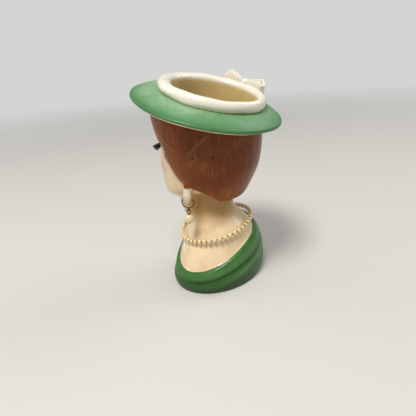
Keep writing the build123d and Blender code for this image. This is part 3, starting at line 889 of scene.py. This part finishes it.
def depth_in_hair(side_view, lining):
    """How far points are inside the hairline, seen from the side, and less than nothing outside."""
    line = smooth_line(HAIRLINE, 8)
    behind, above = 70.0, 160.0
    outline = np.vstack([line, [(behind, line[-1][1]), (behind, above), (line[0][0], above)]])
    inside = inside_outline(side_view, outline) & ~lining
    return np.where(lining, -20.0, distance_to_line(side_view, line) * np.where(inside, 1, -1))


def combed(turn, down):
    """Combed strands as heights about nothing, from the angle round the head and the way down."""
    height = np.zeros_like(turn)
    for waves, phase, drift, share in STRANDS:
        height += share * np.sin(waves * turn + phase + drift * down + 0.8 * np.sin(0.05 * down + phase))
    return height / 2.2


def cloth_folds(dress_depth, below_collar, y):
    """A rolled collar, a groove and a full roll below it, as heights about nothing."""
    width = np.maximum(dress_depth - below_collar, 1.0)
    share = np.clip(dress_depth / width, 0, 1)
    roll = 4 * share * (1 - share) * (below_collar < 0)
    groove = np.exp(-((below_collar / 1.3) ** 2)) * (0.35 + 0.65 * smooth_step(y, -24.0, 4.0))
    lower_roll = np.exp(-(((below_collar - 5.0) / 3.2) ** 2)) * (below_collar > 0)
    return roll * 0.6 + lower_roll * 0.7 - groove * 0.9


def model_bust(scene):
    """Model the glazed bust with its face, combed hair and folded dress"""
    sizes = scene.planter_sizes
    bust = merged_copy("vase_body", "bust")
    apply_modifier(bust, "REMESH", mode="VOXEL", voxel_size=sizes.grain * MM)
    apply_modifier(bust, "SMOOTH", factor=0.5, iterations=3)

    # Face, sharpened to its full relief, and the hair drawn smooth
    places = places_of(bust)
    x, y, z = places.T
    side_view = places[:, 1:].copy()
    lining = in_hollow(places)
    hair_edge = depth_in_hair(side_view, lining)
    front, facing = front_of_head(x, z)
    near = smooth_step(-np.abs(y - front), -3.0, -2.0) * smooth_step(facing, 0.35, 0.6)
    near *= smooth_step(z, 64.0, 68.0) * smooth_step(-hair_edge, 0.4, 2.0) * (y < -5) * ~lining
    places[:, 1] += near * (front - y)
    places = on_hair(places, smooth_step(hair_edge, 1.0, 3.0))
    put_places(bust, places)

    # Soften the hair's lower roll, the cloth beside the collar's edges and the tops of the lobes
    dress_depth = depth_below(places, NECKLINE)
    below_collar = depth_below(places, COLLAR_FOOT)
    roll_edge = (hair_edge > -1.5) & (hair_edge < 7.0) & (y > 3.0) & (z < 74.0)
    cloth = (dress_depth > 1.2) & (np.abs(below_collar) > 1.0) & (z > 1.0) & ~lining
    lobe_top = (np.abs(x) > 26.0) & (np.abs(y - LOBE[1]) < 6.5) & (z > 72.5) & (z < 84.0)
    for name, chosen, rounds in (("nape", roll_edge, 45), ("cloth", cloth, 9), ("lobe", lobe_top, 25)):
        group = bust.vertex_groups.new(name=name)
        group.add(np.flatnonzero(chosen).tolist(), 1.0, "REPLACE")
        apply_modifier(bust, "SMOOTH", factor=0.5, iterations=rounds, vertex_group=name)
    bust.vertex_groups.clear()
    places, normals = places_of(bust), normals_of(bust)
    x, y, z = places.T
    at_tip = (hair_edge > -0.3) & (np.abs(x) < 24.0) & (y > 0) & (z > 56.0)
    places[:, 2] += 3.0 * at_tip * smooth_step(66.0 - z, 0.0, 8.0)

    # Hair: combed strands, two swept ridges and two pinholes
    turn = np.arctan2(x, y)
    down = 130.0 - z
    ridge, holes = np.zeros(len(places)), np.zeros(len(places))
    for points in RIDGES:
        away = distance_to_line(side_view, smooth_line(points, 6))
        ridge = np.maximum(ridge, np.exp(-((away / 1.05) ** 2)) * (x > 0))
    for back, up in PINHOLES:
        away = np.hypot(y - back, z - up)
        holes = np.maximum(holes, smooth_step(-away, -1.0, -0.4) * (x > 15))
    relief = sizes.strand_depth * combed(turn, down) + 0.14 * ridge - 0.6 * holes
    lift = relief * smooth_step(hair_edge, 0.5, 4.0)

    fold = cloth_folds(dress_depth, below_collar, y) * smooth_step(dress_depth, 0.3, 1.5) * ~lining
    lift += sizes.fold_depth * fold * smooth_step(z, 0.3, 2.5)
    places += normals * (lift * ~lining)[:, None]
    strand = np.column_stack([turn * COMB_RADIUS, down, 0 * down])
    places[:, 2] = np.maximum(places[:, 2], 0.0)
    put_places(bust, places)

    store(bust, "hair_edge", hair_edge)
    store(bust, "dress_depth", np.where(lining, -20.0, dress_depth))
    store(bust, "fold", fold)
    store(bust, "lining", lining.astype(float))
    store(bust, "ridge", ridge)
    store(bust, "pinhole", holes)
    store(bust, "strand", strand)
    finish_piece(bust, "bust", "root", bust_finish(scene.planter_colours), "glazed_body", "vase_body")


# Hat


def model_brim(tints, steps):
    """The saucer brim, domed up to the crown and waved a little at its edge."""
    middle = BRIM_RADIUS - BRIM_ROLL
    start, end = np.array((middle, BRIM_ROLL)), np.array((DOME_RADIUS, DOME_HEIGHT))
    dome = []
    for t in np.linspace(0.12, 1, 9):
        dome.append(tuple(start + t * (end - start) + np.array((0, 4 * DOME_RISE * t * (1 - t)))))

    # Points close beside the corners keep them sharp when the mesh is made finer
    inner, beside, foot, top = MOUTH_RADIUS, MOUTH_RADIUS + 0.15, 1.0, DOME_HEIGHT
    outline = [(inner, foot), (beside, foot), (36.0, foot), (43.0, foot), (44.6, 0.7), (47.0, -0.4)]
    outline += arc(middle, 0.0, BRIM_ROLL, -90, 91, 22) + dome
    outline += [(33.0, top), (beside, top), (inner, top), (inner, top - 0.15), (inner, foot + 0.15)]
    brim = spun(outline, steps)
    places = places_of(brim)
    away, turn = about_axis(places)
    inward = np.clip((DOME_RADIUS - away) / (DOME_RADIUS - MOUTH_RADIUS), 0, 1)
    places[:, 1] += MOUTH_BACK * inward
    waves = np.sin(3 * turn + 1.0) + 0.6 * np.sin(7 * turn)
    places[:, 2] += 0.22 * smooth_step(away, 40.0, 50.0) * waves
    put_places(brim, places)
    apply_modifier(brim, "SUBSURF", levels=1, render_levels=1)
    places = places_of(brim)
    mouth_away = np.hypot(places[:, 0], places[:, 1] - MOUTH_BACK)
    store(brim, "hat_place", places)
    store(brim, "lining", (mouth_away < MOUTH_RADIUS + 0.4).astype(float))
    brim.data.transform(hat_matrix())
    finish_piece(brim, "hat_brim_paint", "root", brim_finish(tints), "hat_green", "hat_brim")


def model_band(tints, steps):
    """The white band round the mouth, with its lining, two cracks and a nick."""
    band = spun(BAND_OUTLINE, steps)
    places = places_of(band)
    away, turn = about_axis(places)
    inward = np.clip((BAND_RADIUS - away) / (BAND_RADIUS - MOUTH_RADIUS), 0, 1)
    places[:, 1] += BAND_BACK + (MOUTH_BACK - BAND_BACK) * inward
    waves = np.sin(5 * turn + 0.6) + 0.7 * np.sin(11 * turn + 2.0)
    places[:, 2] += 0.16 * smooth_step(places[:, 2], 3.0, 6.5) * waves
    belly = smooth_step(away, 33.0, 35.0) * smooth_step(-places[:, 2], -3.5, -0.4)
    spread = 1 + 0.010 * belly * (np.sin(4 * turn + 2.2) + 0.8 * np.sin(9 * turn + 0.5) - 0.6)
    places[:, :2] *= spread[:, None]
    put_places(band, places)
    apply_modifier(band, "SUBSURF", levels=1, render_levels=1)
    places = places_of(band)
    up = places[:, 2]
    mouth_away = np.hypot(places[:, 0], places[:, 1] - MOUTH_BACK)
    turn = np.degrees(np.arctan2(places[:, 0], -places[:, 1]))
    marks = np.zeros(len(places))
    for angle in (-27.0, -24.5):
        marks = np.maximum(marks, np.exp(-(((turn - angle) / 0.5) ** 2)))
    nick = np.hypot((turn + 8.0) * 0.6, up - 5.6)
    marks = np.maximum(marks * smooth_step(up, 1.0, 3.0), smooth_step(-nick, -1.0, -0.5))
    # Painted shade: cream low on the band
    store(band, "low", 1 - smooth_step(up, 0.3, 3.4))
    store(band, "hollow", np.zeros(len(places)))
    store(band, "mark", marks)
    store(band, "lining", smooth_step(-up, -5.2, -2.6) * (mouth_away < MOUTH_RADIUS + 1.0))
    band.data.transform(hat_matrix(DOME_HEIGHT))
    finish_piece(band, "hat_band_glaze", "root", white_finish(tints), "white_glaze", "hat_band")


def model_hat(scene):
    """Model the saucer brim and the white band round the mouth"""
    for model in (model_brim, model_band):
        model(scene.planter_colours, scene.planter_sizes.ring_steps)


def model_bow(scene):
    """Model the bow's loops, knot and tails as soft glazed ribbon"""
    grain = scene.planter_sizes.bow_grain
    finish = white_finish(scene.planter_colours)
    for node in ("bow_loop_front", "bow_loop_back", "bow_knot", "bow_tail_front", "bow_tail_back"):
        piece = merged_copy(node, node)
        apply_modifier(piece, "REMESH", mode="VOXEL", voxel_size=grain * MM)
        apply_modifier(piece, "SMOOTH", factor=0.5, iterations=10)
        places, normals = places_of(piece), normals_of(piece)
        low, high = places.min(0), places.max(0)
        pleats = np.sin(places[:, 2] * 1.3 + places[:, 1] * 0.4) * 0.1
        if node == "bow_knot":
            pleats = np.sin(places[:, 1] * 2.4) * 0.12
        places += normals * pleats[:, None]
        put_places(piece, places)
        inward = (((low + high) / 2 - places) * normals).sum(1)
        plain = np.zeros(len(places))
        # Painted shade: cream lower down each piece of the bow, and inside its loops
        store(piece, "low", 0.7 * (high[2] - places[:, 2]) / (high[2] - low[2]))
        store(piece, "hollow", smooth_step(inward, 0.5, 3.0) if "loop" in node else plain)
        store(piece, "mark", plain)
        store(piece, "lining", plain)
        finish_piece(piece, node + "_glaze", "root", finish, "white_glaze", node)


# Lashes


def lash_hair():
    """One upright straight hair, a millimetre long, cut across so that it can bend."""
    clear_selection()
    bpy.ops.mesh.primitive_cone_add(
        vertices=5, radius1=0.40 * MM, radius2=0.10 * MM, depth=MM, end_fill_type="TRIFAN"
    )
    hair = bpy.context.object
    for height in (-0.17, 0.17):
        edit_mesh(hair, (bpy.ops.mesh.bisect, {"plane_co": (0, 0, height * MM), "plane_no": (0, 0, 1)}))
    return hair


def model_lashes(scene):
    """Model the two lashes as fans of separate curled hairs"""
    count = scene.planter_sizes.lash_hairs
    finish = lash_finish(scene.planter_colours)
    for side, hand in SIDES:
        across = Vector((cos(LASH_TURN), side * sin(LASH_TURN), 0))
        forward = Vector((side * sin(LASH_TURN), -cos(LASH_TURN), -tan(LASH_DROOP))).normalized()
        up = forward.cross(across).normalized()
        middle = Vector((side * LASH_MIDDLE[0], *LASH_MIDDLE[1:]))
        random = np.random.default_rng(7)
        hairs = []
        for i in range(count):
            share = 2 * (i + 0.5) / count - 1
            layer = i % 4
            reach = LASH_REACH * (1 - 0.55 * share**2) - 0.35 * layer + random.uniform(-0.4, 0.25)
            root = -3.2 - 1.5 * share**2
            hair = lash_hair()
            for vertex in hair.data.vertices:
                along = vertex.co.z / MM + 0.5
                sideways = share * LASH_HALF_WIDTH * (1 + 0.12 * along) + vertex.co.x / MM
                out = root + (reach - root) * along
                lift = 0.7 - 0.25 * layer + vertex.co.y / MM
                lift += 0.8 * along - (0.9 + 0.75 * layer) * along**2
                vertex.co = (middle + across * sideways + forward * out + up * lift) * MM
            hairs.append(hair)
        lash = join(hairs)
        edit_mesh(lash, FACE_OUTWARDS)
        finish_piece(lash, f"lash_{hand}", "root", finish, "lash_fibre", f"eyelash_{hand}")


# Earrings and necklace


def ear_matrix(side):
    """The place of an ear wire: x back through the lobe, y up, z out from the head."""
    back = Vector((-side * sin(EAR_TURN), cos(EAR_TURN), 0))
    out = Vector((cos(EAR_TURN), side * sin(EAR_TURN), 0))
    columns = Matrix((back, (0, 0, 1), out)).transposed().to_4x4()
    return shift(side * LOBE[0], *LOBE[1:]) @ columns


def round_ring(radius, wire, segments, sides):
    """A closed ring of round wire, flat at the origin."""
    clear_selection()
    bpy.ops.mesh.primitive_torus_add(
        major_radius=radius * MM,
        minor_radius=wire * MM,
        major_segments=segments,
        minor_segments=sides,
        location=(0, 0, 0),
    )
    return bpy.context.object


def rod(radius, top, foot):
    """An upright round rod with soft ends, between two places below the bore."""
    clear_selection()
    bpy.ops.mesh.primitive_cylinder_add(
        vertices=20, radius=radius * MM, depth=(foot - top) * MM, location=(0, 0, 0)
    )
    made = bpy.context.object
    bevel = {"offset": radius * 0.35 * MM, "segments": 2, "affect": "EDGES"}
    edit_mesh(made, (bpy.ops.mesh.bevel, bevel))
    made.data.transform(shift(0, -(top + foot) / 2, 0) @ Matrix.Rotation(-pi / 2, 4, "X"))
    return made


def hoop():
    """The hoop: a bent round wire, straight where it goes through the lobe."""
    reach = HOOP_RADIUS - HOOP_BEND
    path = [(-reach, 0.0), (-1.4, 0.0), (1.4, 0.0), (reach, 0.0)]
    path += arc(reach, -HOOP_BEND, HOOP_BEND, 75, -1, -15)
    path += arc(0.0, -HOOP_BEND, HOOP_RADIUS, -10, -181, -10)
    path += arc(-reach, -HOOP_BEND, HOOP_BEND, 165, 104, -15)
    line = bpy.data.curves.new("hoop", "CURVE")
    line.dimensions = "3D"
    line.bevel_depth = WIRE_RADIUS * MM
    line.bevel_resolution = 3
    spline = line.splines.new("POLY")
    spline.points.add(len(path) - 1)
    for point, (back, up) in zip(spline.points, path):
        point.co = (back * MM, up * MM, 0, 1)
    spline.use_cyclic_u = True
    made = bpy.data.objects.new("hoop", line)
    bpy.context.scene.collection.objects.link(made)
    hold(made)
    bpy.ops.object.convert(target="MESH")
    return bpy.context.object


def pearl(radius, segments, rings, sink, spread, worn_and_shaded):
    """A drilled pearl with its bore along z: a ball with sunk poles, worn near them and marked there for
    painted shade.
    """
    clear_selection()
    bpy.ops.mesh.primitive_uv_sphere_add(
        segments=segments, ring_count=rings, radius=radius * MM, location=(0, 0, 0)
    )
    ball = bpy.context.object
    places = places_of(ball)
    store(ball, "bore", smooth_step(np.abs(places[:, 2]) / radius, *worn_and_shaded))
    away, _ = about_axis(places)
    places[:, 2] *= 1 - sink * np.exp(-((away / spread) ** 2))
    put_places(ball, places)
    return ball


def model_earrings(scene):
    """Model both earrings: hoop with its ring, eye pin and drilled pearl"""
    tints = scene.planter_colours
    metal, coat = metal_finish(tints), pearl_finish(tints)
    for side, hand in SIDES:
        ring = round_ring(RING_RADIUS, WIRE_RADIUS, 40, 12)
        ring.data.transform(shift(0, -RING_BELOW, 0) @ Matrix.Rotation(pi / 2, 4, "Y"))
        wire = join([hoop(), ring])
        eye = round_ring(EYE_RADIUS, WIRE_RADIUS, 40, 12)
        eye.data.transform(shift(0, -EYE_BELOW, 0))
        pin = rod(WIRE_RADIUS, EYE_BELOW + EYE_RADIUS, PIN_BELOW)
        pin = join([eye, pin, rod(KNOB_RADIUS, *KNOB_BELOW)])
        drop = pearl(PEARL_RADIUS, 40, 24, 0.10, 0.8, (0.88, 1.0))
        drop.data.transform(shift(0, -PEARL_BELOW, 0) @ Matrix.Rotation(pi / 2, 4, "X"))
        for piece, node, end, body, finish, slot in (
            (wire, "ear_wire", "round", "wire", metal, "ear_metal"),
            (pin, "eye_pin", "round", "drop", metal, "ear_metal"),
            (drop, "drop_pearl", "coat", "drop", coat, "pearl"),
        ):
            name = f"{node}_{hand}"
            piece.data.transform(ear_matrix(side))
            finish_piece(piece, f"{name}_{end}", f"{body}_{hand}", finish, slot, name)


def model_necklace(scene):
    """String the pearls on their thread"""
    tints = scene.planter_colours
    height, left, front = NECKLACE
    along = Vector((1, 0, -tan(radians(left)))).normalized()
    up = Vector((tan(radians(left)), -tan(radians(front)), 1)).normalized()
    place = shift(0, 0, height) @ Matrix((along, up.cross(along), up)).transposed().to_4x4()
    reach = STRAND_RADIUS * cos(pi / BEADS)
    random = np.random.default_rng(45)
    beads = []
    for i in range(BEADS):
        turn = 2 * pi * (i + 0.5) / BEADS
        size = random.uniform(0.94, 1.0)
        bead = pearl(BEAD_RADIUS, 28, 18, 0.09, 0.5, (0.5, 0.9))
        tip = Matrix.Rotation(turn + random.uniform(-0.03, 0.03), 4, "Z") @ Matrix.Rotation(pi / 2, 4, "X")
        at = shift(reach * cos(turn), reach * sin(turn), random.uniform(-0.08, 0.08))
        bead.data.transform(at @ tip @ Matrix.Diagonal((size, size, 0.97, 1.0)))
        beads.append(bead)
    strand = join(beads)
    strand.data.transform(place)
    finish_piece(strand, "necklace_pearls", "necklace", pearl_finish(tints), "pearl", "necklace_beads")
    thread = round_ring((STRAND_RADIUS + reach) / 2, THREAD_RADIUS, 180, 8)
    thread.data.transform(place)
    finish_piece(thread, "necklace_string", "necklace", thread_finish(tints), "thread", "necklace_thread")


# Stage


def lay_floor(tints):
    """A wide pale floor that fades into the backdrop."""
    clear_selection()
    bpy.ops.mesh.primitive_circle_add(vertices=96, radius=2.2, fill_type="NGON", location=(0, 0, 0))
    floor = bpy.context.object
    floor.name = "studio_floor"
    paper = Finish("studio_paper", **{"Roughness": 0.7, "Specular IOR Level": 0.2})
    grain = paper.noise(60.0, 3.0)
    shade = paper.blend(grain.step(0.3, 0.7) * 0.04, tints.floor, (0.6, 0.58, 0.55))
    paper.wear(shade, grain.step(0.3, 0.7, 0.68, 0.74))
    across, back, _ = paper.coordinates()
    fade = paper.length(across, back).step(350.0, 1500.0)
    clear = paper.node("ShaderNodeBsdfTransparent").outputs[0]
    mixed = paper.node("ShaderNodeMixShader", {}, {0: fade, 1: paper.shader.outputs[0], 2: clear})
    paper.fill(paper.output.inputs["Surface"], mixed.outputs[0])
    floor.data.materials.append(paper.material)


def model_stage(scene):
    """Lay the floor, hang the lamps and place the camera"""
    lay_floor(scene.planter_colours)
    scene.world = bpy.data.worlds.new("studio")
    sky = NodeTree(scene.world)
    seen = sky.node("ShaderNodeBackground", {}, {0: srgb("D4D4D3"), 1: 1.0}).outputs[0]
    soft = sky.node("ShaderNodeBackground", {}, {0: (1.0, 0.98, 0.95), 1: 0.4}).outputs[0]
    to_camera = sky.node("ShaderNodeLightPath").outputs["Is Camera Ray"]
    mixed = sky.node("ShaderNodeMixShader", {}, {0: to_camera, 1: soft, 2: seen}).outputs[0]
    sky.node("ShaderNodeOutputWorld", {}, {0: mixed})

    for name, place, energy, size, tint in LAMPS:
        light = bpy.data.lights.new(name, "AREA")
        light.energy = energy
        light.size = size
        light.color = tint
        lamp = bpy.data.objects.new(name, light)
        lamp.location = place
        aim = Vector((0, 0, 0.08)) - Vector(place)
        lamp.rotation_euler = aim.to_track_quat("-Z", "Y").to_euler()
        scene.collection.objects.link(lamp)

    view = bpy.data.cameras.new("view")
    view.lens = VIEW_LENS
    view.sensor_width = 36.0
    view.clip_start = 0.01
    camera = bpy.data.objects.new("view", view)
    turned = Matrix((VIEW_RIGHT, VIEW_UPWARD, VIEW_BACKWARD)).transposed().to_4x4()
    camera.matrix_world = Matrix.Translation(VIEW_PLACE) @ turned
    scene.collection.objects.link(camera)
    scene.camera = camera
    scene.view_settings.view_transform = "Standard"


# Add-on


class PLANTER_OT_bust(Operator):
    """Model the glazed bust with its face, combed hair and folded dress"""

    bl_idname = "planter.bust"
    bl_label = "Bust"

    def execute(self, context):
        model_bust(context.scene)
        return {"FINISHED"}


class PLANTER_OT_hat(Operator):
    """Model the saucer brim and the white band round the mouth"""

    bl_idname = "planter.hat"
    bl_label = "Hat"

    def execute(self, context):
        model_hat(context.scene)
        return {"FINISHED"}


class PLANTER_OT_bow(Operator):
    """Model the bow's loops, knot and tails as soft glazed ribbon"""

    bl_idname = "planter.bow"
    bl_label = "Bow"

    def execute(self, context):
        model_bow(context.scene)
        return {"FINISHED"}


class PLANTER_OT_lashes(Operator):
    """Model the two lashes as fans of separate curled hairs"""

    bl_idname = "planter.lashes"
    bl_label = "Lashes"

    def execute(self, context):
        model_lashes(context.scene)
        return {"FINISHED"}


class PLANTER_OT_earrings(Operator):
    """Model both earrings: hoop with its ring, eye pin and drilled pearl"""

    bl_idname = "planter.earrings"
    bl_label = "Earrings"

    def execute(self, context):
        model_earrings(context.scene)
        return {"FINISHED"}


class PLANTER_OT_necklace(Operator):
    """String the pearls on their thread"""

    bl_idname = "planter.necklace"
    bl_label = "Necklace"

    def execute(self, context):
        model_necklace(context.scene)
        return {"FINISHED"}


class PLANTER_OT_stage(Operator):
    """Lay the floor, hang the lamps and place the camera"""

    bl_idname = "planter.stage"
    bl_label = "Stage"

    def execute(self, context):
        model_stage(context.scene)
        return {"FINISHED"}


OPERATORS = (
    PLANTER_OT_bust,
    PLANTER_OT_hat,
    PLANTER_OT_bow,
    PLANTER_OT_lashes,
    PLANTER_OT_earrings,
    PLANTER_OT_necklace,
    PLANTER_OT_stage,
)


class PLANTER_PT_sidebar(Panel):
    """Lists the pieces of the planter"""

    bl_label = "Head planter"
    bl_idname = "PLANTER_PT_sidebar"
    bl_space_type = "VIEW_3D"
    bl_region_type = "UI"
    bl_category = "Planter"

    def draw(self, context):
        for operator in OPERATORS:
            self.layout.operator(operator.bl_idname)
        for group in (context.scene.planter_colours, context.scene.planter_sizes):
            box = self.layout.box()
            for name in group.__annotations__:
                box.prop(group, name)


CLASSES = (PlanterColours, PlanterSizes, *OPERATORS, PLANTER_PT_sidebar)


def register():
    for made in CLASSES:
        bpy.utils.register_class(made)
    bpy.types.Scene.planter_colours = PointerProperty(type=PlanterColours)
    bpy.types.Scene.planter_sizes = PointerProperty(type=PlanterSizes)


def unregister():
    del bpy.types.Scene.planter_sizes
    del bpy.types.Scene.planter_colours
    for made in reversed(CLASSES):
        bpy.utils.unregister_class(made)


def main():
    register()
    bpy.ops.planter.bust()
    bpy.ops.planter.hat()
    bpy.ops.planter.bow()
    bpy.ops.planter.lashes()
    bpy.ops.planter.earrings()
    bpy.ops.planter.necklace()
    bpy.ops.planter.stage()


if __name__ == "__main__":
    main()
